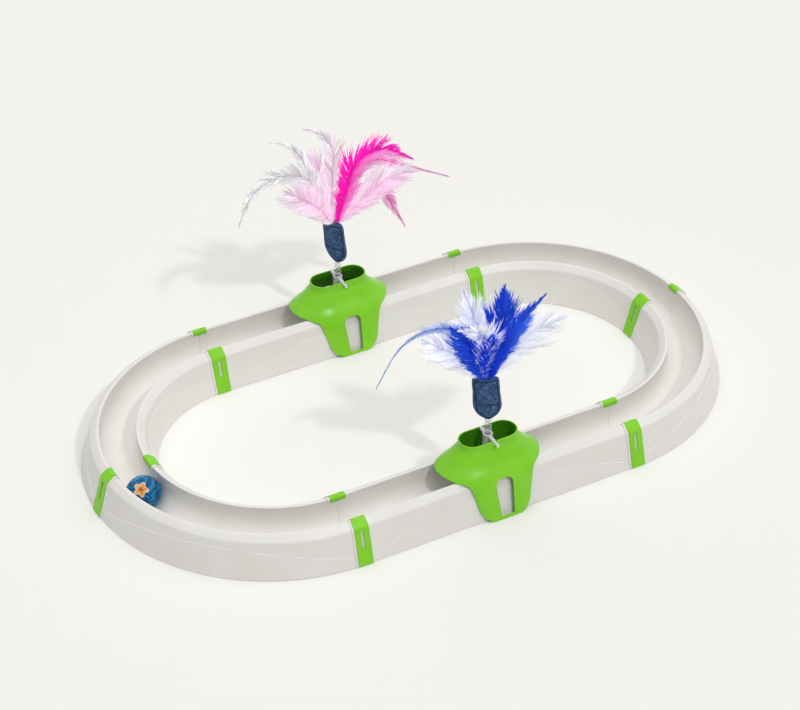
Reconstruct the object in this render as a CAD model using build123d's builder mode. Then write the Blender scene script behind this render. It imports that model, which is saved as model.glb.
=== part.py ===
"""Cat ball track toy: oval channel track, seam clips, two feather bridges and a ball."""
import os
from math import cos, degrees, dist, pi, radians, sin, sqrt

from build123d import *

os.makedirs("parts", exist_ok=True)

# Track: centre line, channel and wall sizes in millimetres
bend_radius = 180.0
straight_length = 360.0
channel_radius = 21.8
channel_floor_height = 9.5
rim_height = 49.0
track_wall = 2.0
rim_overhang = 0.9
rim_land = 3.4
rim_inner_rounding = 1.3
rim_outer_rounding = 3.0
shoulder_run = 7.6
shoulder_drop = 6.1
shoulder_rounding = 5.0
skirt_run = 12.3
seam_gap = 0.3

# Track: end ribs beside the clips and the raised arch on each skirt
rib_width = 2.4
rib_height = 1.4
panel_height = 0.7
panel_crest_height = 34.0
panel_end_height = 8.0

# Clips
clip_width = 17.8
clip_thickness = 1.6
clip_clearance = 0.3
clip_lip_depth = 4.0
clip_slot_width = 3.6
clip_slot_length = 22.0
clip_slot_foot_height = 19.0

# Ball
ball_side_clearance = 1.3
ball_floor_gap = 0.3
ball_wall = 1.6
ball_lap_length = 3.0
ball_lap_wall = 1.0
ball_lap_gap = 0.1
ball_angle = 189.0

# Bridges: hood, chimney, legs and openings
bridge_wall = 2.0
bridge_gap = 0.4
chimney_half_length = 36.8
chimney_half_width = 16.3
chimney_height = 84.6
chimney_neck = 4.0
chimney_edge_rounding = 0.6
sleeve_wall = 1.4
sleeve_rise = 3.6
wing_half_length = 67.0
hood_foot_half_length = 61.0
leg_bulge = 4.0
armpit_drop = 2.0
leg_top_half_width = 41.0
leg_foot_half_width = 29.0
leg_foot_rounding = 20.0
armpit_rounding = 11.0
window_top_half_width = 11.3
window_foot_half_width = 8.4
window_foot_height = 2.5
window_top_rise = 4.0
window_top_rounding = 6.5
window_foot_rounding = 2.0
tunnel_clearance = 3.2

# Bridges: hood levels as shares of the rise, the wing's reach, the width and the corner's length
hood_shares = (
    (0.13, 1.02, 0.915, 0.75),
    (0.26, 0.96, 0.80, 0.77),
    (0.45, 0.66, 0.54, 0.72),
    (0.63, 0.37, 0.32, 0.62),
    (0.82, 0.13, 0.12, 0.51),
    (1.00, 0.00, 0.00, 0.44),
)
leg_level_shares = ((0.60, 0.76), (0.78, 0.74), (0.96, 0.73))
leg_foot_corner_share = 0.78
corner_width_share = 0.97

# Rockers: tube, axle, arms and counterweight
tube_radius = 5.7
tube_bore_radius = 4.5
tube_rise = 2.9
tube_socket_depth = 13.5
tube_web = 3.0
strike_depth = 2.0
axle_radius = 1.8
axle_clearance = 0.3
axle_drop = 2.0
axle_front_reach = 6.8
axle_rear_reach = 0.6
arm_radius = 2.5
arm_end_gap = 0.6
gusset_thickness = 2.4
gusset_height = 9.0
foot_flange_radius = 8.5
foot_flange_thickness = 1.6
weight_radius = 12.0
weight_height = 16.0
weight_clearance = 0.1
weight_edge = 0.8

# Springs
wire_diameter = 1.0
spring_mean_radius = 3.6
spring_pitch = 4.7
spring_end_gap = 0.4
spring_shown_length = 20.5

# Pouches, with levels as shares of height, half width and half thickness
pouch_half_width = 17.0
pouch_half_thickness = 7.5
pouch_height = 60.0
pouch_lean_run = 6.0
pouch_front_turn = -25.0
pouch_rear_turn = -62.0
pouch_shares = (
    (0.00, 0.22, 0.34),
    (0.07, 0.58, 0.60),
    (0.20, 0.90, 0.88),
    (0.50, 1.00, 1.00),
    (0.80, 0.97, 0.92),
    (1.00, 0.90, 0.78),
)

# Feathers: each row is base share of the pouch's half width, length share, shares of the length
# up to the curl and in it, width share, then the lean in degrees at the pouch and at the tip
feather_length = 180.0
feather_half_width = 14.0
feather_thickness = 0.7
feather_layer_gap = 0.5
feather_seat_gap = 0.1
feather_spread = 11.0
quill_half_width = 1.0
vane_shares = (
    (0.00, 0.00),
    (0.08, 0.08),
    (0.18, 0.45),
    (0.30, 0.90),
    (0.42, 1.00),
    (0.54, 0.88),
    (0.66, 0.58),
    (0.78, 0.32),
    (0.90, 0.14),
    (1.00, 0.04),
)
rear_feather_shares = (
    (0.24, 1.02, 0.41, 0.36, 0.95, 9, 127),
    (-0.16, 0.56, 0.22, 0.34, 1.00, -32, -51),
    (0.28, 0.68, 0.47, 0.44, 1.00, 56, 98),
    (-0.20, 1.13, 0.29, 0.60, 0.72, -21, -160),
    (0.26, 0.83, 0.18, 0.42, 0.50, 40, 153),
    (-0.09, 0.85, 0.55, 0.36, 0.62, 4, -64),
    (0.22, 1.16, 0.26, 0.25, 0.60, 29, 118),
    (-0.04, 0.81, 0.60, 0.38, 0.50, -19, -73),
    (0.10, 0.53, 0.53, 0.44, 0.95, -8, -19),
)
front_feather_shares = (
    (0.22, 0.42, 0.55, 0.30, 1.00, -6, -17),
    (-0.18, 0.63, 0.50, 0.40, 0.85, -24, -42),
    (0.25, 0.71, 0.19, 0.30, 0.80, 13, -2),
    (-0.12, 0.65, 0.44, 0.39, 1.00, -2, -63),
    (0.28, 0.62, 0.55, 0.30, 0.55, 33, 53),
    (-0.22, 1.15, 0.21, 0.64, 0.62, -16, -148),
    (0.28, 0.63, 0.33, 0.52, 1.00, 56, 88),
    (-0.27, 0.54, 0.15, 0.58, 0.95, -36, -54),
    (0.04, 0.62, 0.51, 0.30, 0.80, -5, -18),
)

# Working values that follow from the sizes above
overrun = 4 * rim_height
pick_reach = track_wall / 100
seam_turn = degrees(seam_gap / 2 / bend_radius)
half_straight = straight_length / 2
centre_height = channel_floor_height + channel_radius
rim_opening = channel_radius - rim_overhang
rim_outside = rim_opening + rim_land
rim_middle = rim_opening + rim_land / 2
skirt_top = rim_outside + shoulder_run
shoulder_height = rim_height - shoulder_drop
skirt_foot = skirt_top + skirt_run
skirt_slope = skirt_run / shoulder_height
skirt_middle = (skirt_top + skirt_foot) / 2
floor_overrun = 3 * track_wall
rib_start = clip_width / 2 + clip_clearance
rib_end = rib_start + rib_width
ball_radius = channel_radius - ball_side_clearance
ball_height = channel_floor_height + ball_floor_gap + ball_radius
ball_top = ball_height + ball_radius
axle_height = chimney_height - axle_drop
tube_top = axle_height + tube_rise
tube_floor = tube_top - tube_socket_depth
tube_foot = ball_top - strike_depth
pouch_foot = tube_top + spring_shown_length
pouch_top = pouch_foot + pouch_height

pieces = {}


def across_track(centre_x, angle):
    """Plane across the track, local x outwards, at an angle about (centre_x, 0)."""
    out_x = cos(radians(angle))
    out_y = sin(radians(angle))
    return Plane(
        origin=(centre_x + bend_radius * out_x, bend_radius * out_y, 0),
        x_dir=(out_x, out_y, 0),
        z_dir=(out_y, -out_x, 0),
    )


def facing_track(centre_x, angle):
    """Upright plane on the centre line that faces outwards, local x along the track."""
    out_x = cos(radians(angle))
    out_y = sin(radians(angle))
    return Plane(
        origin=(centre_x + bend_radius * out_x, bend_radius * out_y, 0),
        x_dir=(-out_y, out_x, 0),
        z_dir=(out_x, out_y, 0),
    )


def wall_radius(side):
    """Radius about the bend's centre of the middle of the outer or inner skirt."""
    return bend_radius + side * skirt_middle


def draw_outline(grow):
    """Area under the visible track surface, grown by the given amount."""
    right = [
        (skirt_foot + skirt_slope * floor_overrun, -floor_overrun),
        (skirt_top, shoulder_height),
        (rim_outside, rim_height),
        (rim_opening, rim_height),
        (channel_radius, centre_height),
    ]
    left = [(-u, z) for u, z in reversed(right)]
    corners = (
        (right[1], shoulder_rounding),
        (right[2], rim_outer_rounding),
        (right[3], rim_inner_rounding),
    )
    with BuildSketch() as outline:
        with BuildLine():
            Polyline(*right)
            ThreePointArc(right[-1], (0, channel_floor_height), left[0])
            Polyline(*left)
            Line(left[-1], right[0])
        make_face()
        for (u, z), rounding in corners:
            picked = [
                v
                for v in outline.vertices()
                if abs(abs(v.X) - u) < pick_reach and abs(v.Y - z) < pick_reach
            ]
            fillet(picked, rounding)
        if grow:
            offset(amount=grow)
    return outline.sketch


def wall_band(inner, outer, side, lip_height, foot_height):
    """Layer along one wall, from the lip inside the channel over the rim to the foot."""
    outwards = Align.MIN if side > 0 else Align.MAX
    with BuildSketch() as kept:
        with Locations((side * rim_middle, foot_height), (0, lip_height)):
            Rectangle(overrun, overrun, align=(outwards, Align.MIN))
    with BuildSketch() as band:
        add(outer)
        add(inner, mode=Mode.SUBTRACT)
        add(kept.sketch, mode=Mode.INTERSECT)
    return band.sketch


# Cross sections: track shell, end rib, raised panel and clip, on both walls
bare_outline = draw_outline(0)
inset_outline = draw_outline(-track_wall)
buried_outline = draw_outline(-track_wall / 2)
rib_outline = draw_outline(rib_height)
panel_outline = draw_outline(panel_height)
clip_seat_outline = draw_outline(clip_clearance)
clip_face_outline = draw_outline(clip_clearance + clip_thickness)
lip_height = rim_height - clip_lip_depth
with BuildSketch() as track_section:
    add(bare_outline)
    add(inset_outline, mode=Mode.SUBTRACT)
    Rectangle(overrun, overrun, align=(Align.CENTER, Align.MAX), mode=Mode.SUBTRACT)
rib_bands = {}
panel_bands = {}
clip_bands = {}
for side in (1, -1):
    rib_bands[side] = wall_band(buried_outline, rib_outline, side, lip_height, 0)
    panel_bands[side] = wall_band(buried_outline, panel_outline, side, overrun, 0)
    clip_bands[side] = wall_band(
        clip_seat_outline, clip_face_outline, side, lip_height, clip_clearance
    )


def draw_arch(half_length):
    """Area under the raised panel's curved upper edge."""
    with BuildSketch() as arch:
        with BuildLine():
            ThreePointArc(
                (-half_length, panel_end_height),
                (0, panel_crest_height),
                (half_length, panel_end_height),
            )
            Polyline(
                (half_length, panel_end_height),
                (half_length, -floor_overrun),
                (-half_length, -floor_overrun),
                (-half_length, panel_end_height),
            )
        make_face()
    return arch.sketch


# Straight track sections
for name, angle in (("track_straight_front", -90), ("track_straight_rear", 90)):
    panels = []
    for side in (1, -1):
        with BuildPart() as panel:
            with BuildSketch(across_track(0, angle)):
                add(panel_bands[side])
            extrude(amount=half_straight - rib_end - clip_clearance, both=True)
            with BuildSketch(Plane.XZ):
                add(draw_arch(half_straight - rib_end))
            extrude(amount=bend_radius + overrun, both=True, mode=Mode.INTERSECT)
        panels.append(panel.part)
    with BuildPart() as straight:
        with BuildSketch(across_track(0, angle)):
            add(track_section.sketch)
        extrude(amount=half_straight - seam_gap / 2, both=True)
        for end in (1, -1):
            rib_place = end * (half_straight - rib_start - rib_width / 2)
            for side in (1, -1):
                with BuildSketch(across_track(rib_place, angle)):
                    add(rib_bands[side])
                extrude(amount=rib_width / 2, both=True)
        add(panels)
    pieces[name] = straight.part

# Quarter bends
for name, end, start in (
    ("track_bend_right_front", 1, -90),
    ("track_bend_right_rear", 1, 0),
    ("track_bend_left_rear", -1, 90),
    ("track_bend_left_front", -1, 180),
):
    centre_x = end * half_straight
    axis = Axis((centre_x, 0, 0), (0, 0, 1))
    middle = start + 45
    panels = []
    for side in (1, -1):
        inset = degrees((rib_end + clip_clearance) / wall_radius(side))
        half_chord = wall_radius(side) * sin(radians(45 - inset)) + skirt_run
        with BuildPart() as panel:
            with BuildSketch(across_track(centre_x, start + inset)):
                add(panel_bands[side])
            revolve(axis=axis, revolution_arc=90 - 2 * inset)
            with BuildSketch(
                Plane(
                    origin=(centre_x, 0, 0),
                    x_dir=(-sin(radians(middle)), cos(radians(middle)), 0),
                    z_dir=(cos(radians(middle)), sin(radians(middle)), 0),
                )
            ):
                add(draw_arch(half_chord))
            extrude(amount=2 * bend_radius, mode=Mode.INTERSECT)
        panels.append(panel.part)
    with BuildPart() as bend:
        with BuildSketch(across_track(centre_x, start + seam_turn)):
            add(track_section.sketch)
        revolve(axis=axis, revolution_arc=90 - 2 * seam_turn)
        for side in (1, -1):
            rib_turn = degrees(rib_width / wall_radius(side))
            rib_inset = degrees(rib_start / wall_radius(side))
            for rib_angle in (start + rib_inset, start + 90 - rib_inset - rib_turn):
                with BuildSketch(across_track(centre_x, rib_angle)):
                    add(rib_bands[side])
                revolve(axis=axis, revolution_arc=rib_turn)
        add(panels)
    pieces[name] = bend.part

# Clips over the outer and inner rim at each of the six seams
for seam, end, angle, turn in (
    ("front_left", -1, -90, -1),
    ("front_right", 1, -90, 1),
    ("rear_left", -1, 90, 1),
    ("rear_right", 1, 90, -1),
    ("left_middle", -1, 180, 0),
    ("right_middle", 1, 0, 0),
):
    centre_x = end * half_straight
    axis = Axis((centre_x, 0, 0), (0, 0, 1))
    for wall_name, side in (("outer", 1), ("inner", -1)):
        half_turn = degrees(clip_width / 2 / wall_radius(side))
        first = angle if turn > 0 else angle - half_turn
        with BuildPart() as clip:
            with BuildSketch(across_track(centre_x, first)):
                add(clip_bands[side])
            revolve(axis=axis, revolution_arc=half_turn if turn else 2 * half_turn)
            if turn:
                with BuildSketch(across_track(centre_x - end * clip_width / 4, angle)):
                    add(clip_bands[side])
                extrude(amount=clip_width / 4, both=True)
            with BuildSketch(facing_track(centre_x, angle)):
                with Locations((0, clip_slot_foot_height + clip_slot_length / 2)):
                    SlotOverall(clip_slot_length, clip_slot_width, rotation=90)
            extrude(amount=side * overrun, mode=Mode.SUBTRACT)
        pieces["clip_" + seam + "_" + wall_name] = clip.part

# Ball of two shells, the lower one with a ring that laps inside the upper
ball_x = -half_straight + bend_radius * cos(radians(ball_angle))
ball_y = bend_radius * sin(radians(ball_angle))
ball_bore = ball_radius - ball_wall
lap_radius = sqrt(ball_bore**2 - ball_lap_length**2) - ball_lap_gap
with BuildPart() as upper_half:
    with Locations((ball_x, ball_y, ball_height)):
        Sphere(ball_radius, arc_size1=0, arc_size2=90, align=None)
        Sphere(ball_bore, arc_size1=0, arc_size2=90, align=None, mode=Mode.SUBTRACT)
pieces["ball_upper_half"] = upper_half.part
with BuildPart() as lower_half:
    with Locations((ball_x, ball_y, ball_height)):
        Sphere(ball_radius, arc_size1=-90, arc_size2=0, align=None)
        Sphere(ball_bore, arc_size1=-90, arc_size2=0, align=None, mode=Mode.SUBTRACT)
    with BuildSketch(Plane((ball_x, ball_y, ball_height - 2 * ball_lap_length))):
        Circle(lap_radius)
        Circle(lap_radius - ball_lap_wall, mode=Mode.SUBTRACT)
    extrude(amount=3 * ball_lap_length)
pieces["ball_lower_half"] = lower_half.part


def leg_level(height, corner_share):
    """Level of the bridge's legs: height, half length, half width outside and corner share."""
    clear = (panel_height + bridge_gap) * sqrt(1 + skirt_slope**2)
    half_width = skirt_foot - skirt_slope * height + clear + bridge_wall + leg_bulge
    spread = (wing_half_length - hood_foot_half_length) * height / shoulder_height
    return height, hood_foot_half_length + spread, half_width, corner_share


def hood_levels():
    """Levels of the legs and the hood, from the skirt up to the chimney's neck."""
    levels = [leg_level(share * shoulder_height, corner) for share, corner in leg_level_shares]
    first_height, _, first_half_width, _ = levels[-1]
    rise = chimney_height - chimney_neck - first_height
    for rise_share, reach_share, width_share, corner_share in hood_shares:
        levels.append(
            (
                first_height + rise_share * rise,
                chimney_half_length + reach_share * (wing_half_length - chimney_half_length),
                chimney_half_width + width_share * (first_half_width - chimney_half_width),
                corner_share,
            )
        )
    return levels


def draw_level(level, shrink):
    """Oval with straight sides and elliptical corners, shrunk by a wall."""
    _, half_length, half_width, corner_share = level
    length = half_length - shrink
    width = half_width - shrink
    round_length = corner_share * length
    round_width = corner_width_share * width
    along = length - round_length
    across = width - round_width
    with BuildSketch() as oval:
        with BuildLine():
            for turn, x, y in (
                (0, along, across),
                (90, -along, across),
                (180, -along, -across),
                (270, along, -across),
            ):
                EllipticalCenterArc((x, y), round_length, round_width, start_angle=turn)
            Line((along, width), (-along, width))
            Line((-length, across), (-length, -across))
            Line((-along, -width), (along, -width))
            Line((length, -across), (length, across))
        make_face()
    return oval.sketch


def build_hood(centre_y, shrink, neck):
    """Solid hood over the track, from below the floor to the top of the chimney."""
    levels = hood_levels()
    foot = leg_level(-floor_overrun, leg_foot_corner_share)
    with BuildPart() as hood:
        for level in levels:
            with BuildSketch(Plane((0, centre_y, level[0]))):
                add(draw_level(level, shrink))
        loft()
        extrude(hood.faces().sort_by(Axis.Z)[-1], amount=neck)
        for level in (foot, levels[0]):
            with BuildSketch(Plane((0, centre_y, level[0]))):
                add(draw_level(level, shrink))
        loft(ruled=True)
    return hood.part


# Bridges over the middle of each straight
armpit_height = rim_height - armpit_drop
wing_tip_height = ball_top + tunnel_clearance
window_top = shoulder_height + window_top_rise
sleeve_foot = wing_tip_height + sleeve_rise
neck_level = hood_levels()[-1]
for name, centre_y in (("bridge_front", -bend_radius), ("bridge_rear", bend_radius)):
    outside = build_hood(centre_y, 0, chimney_neck)
    inside = build_hood(centre_y, bridge_wall, chimney_neck + bridge_wall)
    with BuildPart() as bridge:
        add(outside)
        add(inside, mode=Mode.SUBTRACT)
        fillet(bridge.faces().sort_by(Axis.Z)[-1].edges(), chimney_edge_rounding)
        with BuildSketch(Plane((0, centre_y, sleeve_foot))):
            add(draw_level(neck_level, bridge_wall - sleeve_wall))
            add(draw_level(neck_level, bridge_wall), mode=Mode.SUBTRACT)
        extrude(amount=chimney_height - chimney_neck - sleeve_foot)
        with BuildSketch(Plane.XZ) as front_shape:
            with BuildLine():
                Polyline(
                    (leg_foot_half_width, 0),
                    (leg_top_half_width, armpit_height),
                    (wing_half_length, wing_tip_height),
                    (overrun, wing_tip_height),
                    (overrun, overrun),
                    (-overrun, overrun),
                    (-overrun, wing_tip_height),
                    (-wing_half_length, wing_tip_height),
                    (-leg_top_half_width, armpit_height),
                    (-leg_foot_half_width, 0),
                    close=True,
                )
            make_face()
            feet = [v for v in front_shape.vertices() if v.Y < armpit_height / 2]
            fillet(feet, leg_foot_rounding)
            armpits = [
                v for v in front_shape.vertices() if abs(v.Y - armpit_height) < pick_reach
            ]
            fillet(armpits, armpit_rounding)
        extrude(amount=bend_radius + overrun, both=True, mode=Mode.INTERSECT)
        with BuildSketch(Plane((0, centre_y, 0), x_dir=(1, 0, 0), z_dir=(0, -1, 0))) as window:
            with BuildLine():
                Polyline(
                    (window_foot_half_width, window_foot_height),
                    (window_top_half_width, window_top),
                    (-window_top_half_width, window_top),
                    (-window_foot_half_width, window_foot_height),
                    close=True,
                )
            make_face()
            fillet(window.vertices().group_by(Axis.Y)[-1], window_top_rounding)
            fillet(window.vertices().group_by(Axis.Y)[0], window_foot_rounding)
        extrude(amount=overrun, both=True, mode=Mode.SUBTRACT)
        with BuildSketch(Plane((0, centre_y, 0), x_dir=(1, 0, 0), z_dir=(0, -1, 0))):
            with Locations((0, axle_height)):
                Circle(axle_radius + axle_clearance)
                Rectangle(
                    2 * (axle_radius + axle_clearance),
                    2 * axle_drop,
                    align=(Align.CENTER, Align.MIN),
                )
        extrude(amount=overrun, both=True, mode=Mode.SUBTRACT)
    pieces[name] = bridge.part

# Rockers with their counterweights
arm_length = chimney_half_width - bridge_wall - arm_end_gap
web_foot = tube_floor - tube_web
axle_front = chimney_half_width + axle_front_reach
axle_rear = chimney_half_width + axle_rear_reach
for place, centre_y in (("front", -bend_radius), ("rear", bend_radius)):
    with BuildPart() as rocker:
        with BuildSketch(Plane((0, centre_y, tube_foot))):
            Circle(tube_radius)
        extrude(amount=tube_top - tube_foot)
        with BuildSketch(Plane((0, centre_y, tube_foot))):
            Circle(foot_flange_radius)
        extrude(amount=foot_flange_thickness)
        with BuildSketch(Plane((0, centre_y, axle_height), x_dir=(1, 0, 0), z_dir=(0, -1, 0))):
            Circle(arm_radius)
        extrude(amount=arm_length, both=True)
        with BuildSketch(
            Plane((0, centre_y - axle_front, axle_height), x_dir=(1, 0, 0), z_dir=(0, 1, 0))
        ):
            Circle(axle_radius)
        extrude(amount=axle_front + axle_rear)
        with BuildSketch(Plane((0, centre_y, axle_height), x_dir=(0, 1, 0), z_dir=(1, 0, 0))):
            with BuildLine():
                Polyline(
                    (arm_length, 0),
                    (tube_radius, -gusset_height),
                    (-tube_radius, -gusset_height),
                    (-arm_length, 0),
                    close=True,
                )
            make_face()
        extrude(amount=gusset_thickness / 2, both=True)
        with BuildSketch(Plane((0, centre_y, tube_floor))):
            Circle(tube_bore_radius)
        extrude(amount=tube_socket_depth, mode=Mode.SUBTRACT)
        with BuildSketch(Plane((0, centre_y, tube_foot))):
            Circle(tube_bore_radius)
        extrude(amount=web_foot - tube_foot, mode=Mode.SUBTRACT)
    pieces["rocker_" + place] = rocker.part
    with BuildPart() as weight:
        with BuildSketch(Plane((0, centre_y, tube_foot + foot_flange_thickness + weight_clearance))):
            Circle(weight_radius)
        extrude(amount=weight_height)
        chamfer(weight.edges().filter_by(GeomType.CIRCLE), weight_edge)
        with BuildSketch(Plane((0, centre_y, tube_foot))):
            Circle(tube_radius + weight_clearance)
        extrude(amount=tube_top - tube_foot, mode=Mode.SUBTRACT)
    pieces["counterweight_" + place] = weight.part

# Springs: one wire, each quarter turn laid on two arcs that share their tangent
spring_foot = tube_floor + spring_end_gap + wire_diameter / 2
spring_head = pouch_foot - spring_end_gap - wire_diameter / 2
spring_rise = spring_head - spring_foot
quarter_turns = round(4 * spring_rise / spring_pitch)
quarter_rise = spring_rise / quarter_turns


def on_spring(quarter):
    """Point on the spring's centre line and its direction, counted in quarter turns."""
    angle = quarter * pi / 2
    lead = quarter_rise / (pi / 2)
    point = Vector(
        spring_mean_radius * cos(angle),
        spring_mean_radius * sin(angle),
        spring_foot + quarter * quarter_rise,
    )
    heading = Vector(-spring_mean_radius * sin(angle), spring_mean_radius * cos(angle), lead)
    return point, heading.normalized()


for place, centre_y in (("front", -bend_radius), ("rear", bend_radius)):
    shift = Vector(0, centre_y, 0)
    with BuildPart() as spring:
        with BuildLine() as wire_path:
            for quarter in range(quarter_turns):
                here, heading = on_spring(quarter)
                there, leaving = on_spring(quarter + 1)
                chord = there - here
                both = heading + leaving
                spread = 2 * (1 - heading.dot(leaving))
                along = chord.dot(both)
                reach = (sqrt(along**2 + spread * chord.dot(chord)) - along) / spread
                meet = (here + heading * reach + there - leaving * reach) / 2
                turned = (there - leaving * reach) - (here + heading * reach)
                TangentArc(here + shift, meet + shift, tangent=heading)
                TangentArc(meet + shift, there + shift, tangent=turned)
        first_point, first_heading = on_spring(0)
        with BuildSketch(Plane(origin=first_point + shift, z_dir=first_heading)):
            Circle(wire_diameter / 2)
        sweep(path=wire_path.line)
    pieces["spring_" + place] = spring.part
spring_points = [tuple(on_spring(step / 4)[0]) for step in range(4 * quarter_turns + 1)]
least_gap = min(
    dist(spring_points[i], spring_points[j])
    for i in range(len(spring_points))
    for j in range(i + 8, len(spring_points))
)
print("least gap between spring turns:", round(least_gap - wire_diameter, 2), "mm")


def draw_lens(half_width, half_thickness):
    """Pouch cross section: two arcs that meet at the side seams."""
    with BuildSketch() as lens:
        with BuildLine():
            ThreePointArc((-half_width, 0), (0, half_thickness), (half_width, 0))
            ThreePointArc((half_width, 0), (0, -half_thickness), (-half_width, 0))
        make_face()
    return lens.sketch


# Pouches, stuffed and drawn in at the side seams
for place, centre_y, turn in (
    ("front", -bend_radius, pouch_front_turn),
    ("rear", bend_radius, pouch_rear_turn),
):
    with BuildPart() as pouch:
        for height_share, width_share, thickness_share in pouch_shares:
            level = Plane(
                (-height_share * pouch_lean_run, centre_y, pouch_foot + height_share * pouch_height),
                x_dir=(cos(radians(turn)), sin(radians(turn)), 0),
                z_dir=(0, 0, 1),
            )
            with BuildSketch(level):
                add(draw_lens(width_share * pouch_half_width, thickness_share * pouch_half_thickness))
        loft()
    pieces["pouch_" + place] = pouch.part


def on_spine(share, length, straight_share, curl_share, lean, tip_lean):
    """Place along a feather's spine, in its own plane, and the lean there in degrees."""
    to_curl = min(share, straight_share) * length
    in_curl = min(max(share - straight_share, 0), curl_share)
    past_curl = max(share - straight_share - curl_share, 0) * length
    first = radians(lean)
    last = radians(tip_lean)
    now = first + (last - first) * in_curl / curl_share
    curl_radius = curl_share * length / (last - first)
    side = to_curl * sin(first) + curl_radius * (cos(first) - cos(now)) + past_curl * sin(last)
    up = to_curl * cos(first) + curl_radius * (sin(now) - sin(first)) + past_curl * cos(last)
    return side, up, degrees(now)


# Feathers, each in a layer of its own that leans away from its neighbours
for place, centre_y, rows in (
    ("front", -bend_radius, front_feather_shares),
    ("rear", bend_radius, rear_feather_shares),
):
    middle_layer = (len(rows) - 1) / 2
    for layer, row in enumerate(rows):
        base_share, length_share, straight_share, curl_share, width_share, lean, tip_lean = row
        step = layer - middle_layer
        tilt = radians(feather_spread * step / middle_layer)
        base_y = centre_y + step * (feather_thickness + feather_layer_gap)
        dip = quill_half_width * abs(sin(radians(lean))) + feather_thickness * abs(sin(tilt))
        base_z = pouch_top + feather_seat_gap + dip
        with BuildPart() as feather:
            for spine_share, vane_share in vane_shares:
                length = length_share * feather_length
                side, up, now = on_spine(
                    spine_share, length, straight_share, curl_share, lean, tip_lean
                )
                turn_side = sin(radians(now))
                turn_up = cos(radians(now))
                half = quill_half_width
                half += vane_share * (width_share * feather_half_width - quill_half_width)
                station = Plane(
                    origin=(
                        base_share * pouch_half_width - pouch_lean_run + side,
                        base_y + up * sin(tilt),
                        base_z + up * cos(tilt),
                    ),
                    x_dir=(turn_up, -turn_side * sin(tilt), -turn_side * cos(tilt)),
                    z_dir=(turn_side, turn_up * sin(tilt), turn_up * cos(tilt)),
                )
                with BuildSketch(station):
                    with BuildLine():
                        Polyline(
                            (half, 0),
                            (0, feather_thickness / 2),
                            (-half, 0),
                            (0, -feather_thickness / 2),
                            close=True,
                        )
                    make_face()
            loft()
        pieces["feather_" + place + "_" + str(layer + 1)] = feather.part

for name, solid in pieces.items():
    solid.label = name
    export_step(solid, "parts/" + name + ".step")
print(len(pieces), "pieces")
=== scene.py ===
import math
import random

import bpy
import numpy as np
from mathutils import Matrix, Vector


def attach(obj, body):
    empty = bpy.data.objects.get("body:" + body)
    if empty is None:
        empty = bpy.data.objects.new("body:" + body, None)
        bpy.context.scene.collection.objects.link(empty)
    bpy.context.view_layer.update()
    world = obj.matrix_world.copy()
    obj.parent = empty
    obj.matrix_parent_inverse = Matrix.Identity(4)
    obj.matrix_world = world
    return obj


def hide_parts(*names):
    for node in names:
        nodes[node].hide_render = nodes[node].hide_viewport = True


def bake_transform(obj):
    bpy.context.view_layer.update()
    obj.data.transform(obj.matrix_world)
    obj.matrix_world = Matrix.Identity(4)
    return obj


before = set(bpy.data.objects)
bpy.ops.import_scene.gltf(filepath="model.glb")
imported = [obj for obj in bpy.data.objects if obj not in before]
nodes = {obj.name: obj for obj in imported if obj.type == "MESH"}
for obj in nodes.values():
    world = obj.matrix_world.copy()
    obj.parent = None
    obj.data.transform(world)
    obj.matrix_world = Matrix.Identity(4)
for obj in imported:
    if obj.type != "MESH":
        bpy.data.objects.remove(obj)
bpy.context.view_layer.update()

# Track: six lengths of open channel, moulded in warm white plastic with a fine satin skin.
# They stand in the CAD model as they are, so only the finish is made here: a soft mottle, and
# a lane along the channel floor that the rolling ball has rubbed duller.
straight_half = 0.18
bend_radius = 0.18
lane_middle = 0.004
lane_edge = 0.017
streaks_along = 3.0
streaks_across = 420.0


def fill(tree, node, sockets):
    """Fills or links a node's inputs, by name or number."""
    for socket, value in dict(sockets).items():
        if isinstance(value, bpy.types.NodeSocket):
            tree.links.new(value, node.inputs[socket])
        else:
            node.inputs[socket].default_value = value


def lay(tree, kind, sockets=(), **settings):
    """Adds one shader node with its fields and inputs."""
    node = tree.nodes.new("ShaderNode" + kind)
    for field, value in settings.items():
        setattr(node, field, value)
    fill(tree, node, sockets)
    return node


def figure(tree, operation, *values):
    """One sum on values or sockets, as a Math node."""
    return lay(tree, "Math", dict(enumerate(values)), operation=operation).outputs[0]


def vector_figure(tree, operation, *vectors):
    """One sum on vectors, as a Vector Math node; its outputs are a vector and a value."""
    return lay(tree, "VectorMath", dict(enumerate(vectors)), operation=operation).outputs


def noise(tree, place, scale, detail, roughness=0.5):
    """Noise over places; its outputs are a figure and a colour."""
    sockets = {"Vector": place, "Scale": scale, "Detail": detail, "Roughness": roughness}
    return lay(tree, "TexNoise", sockets).outputs


def tint(tree, share, first, second):
    """Colour between two colours, by a share."""
    return lay(tree, "Mix", {0: share, 6: first, 7: second}, data_type="RGBA").outputs[2]


def ramp(tree, value, low, high, low_out=0.0, high_out=1.0):
    """Value carried smoothly from one range to another, and held at its ends."""
    sockets = {"Value": value, 1: low, 2: high, 3: low_out, 4: high_out}
    return lay(tree, "MapRange", sockets, interpolation_type="SMOOTHSTEP").outputs[0]


def spread(tree, grain, low_out=0.0, high_out=1.0):
    """Noise carried from the middle range where most of it lies to a range of its own."""
    return ramp(tree, grain, 0.3, 0.7, low_out, high_out)


def new_finish(name):
    """Empty material with its Principled shader, and the place on the piece in metres."""
    material = bpy.data.materials.new(name)
    material.use_nodes = True
    tree = material.node_tree
    shader = tree.nodes["Principled BSDF"]
    return material, tree, shader, lay(tree, "TexCoord").outputs["Object"]


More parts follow.
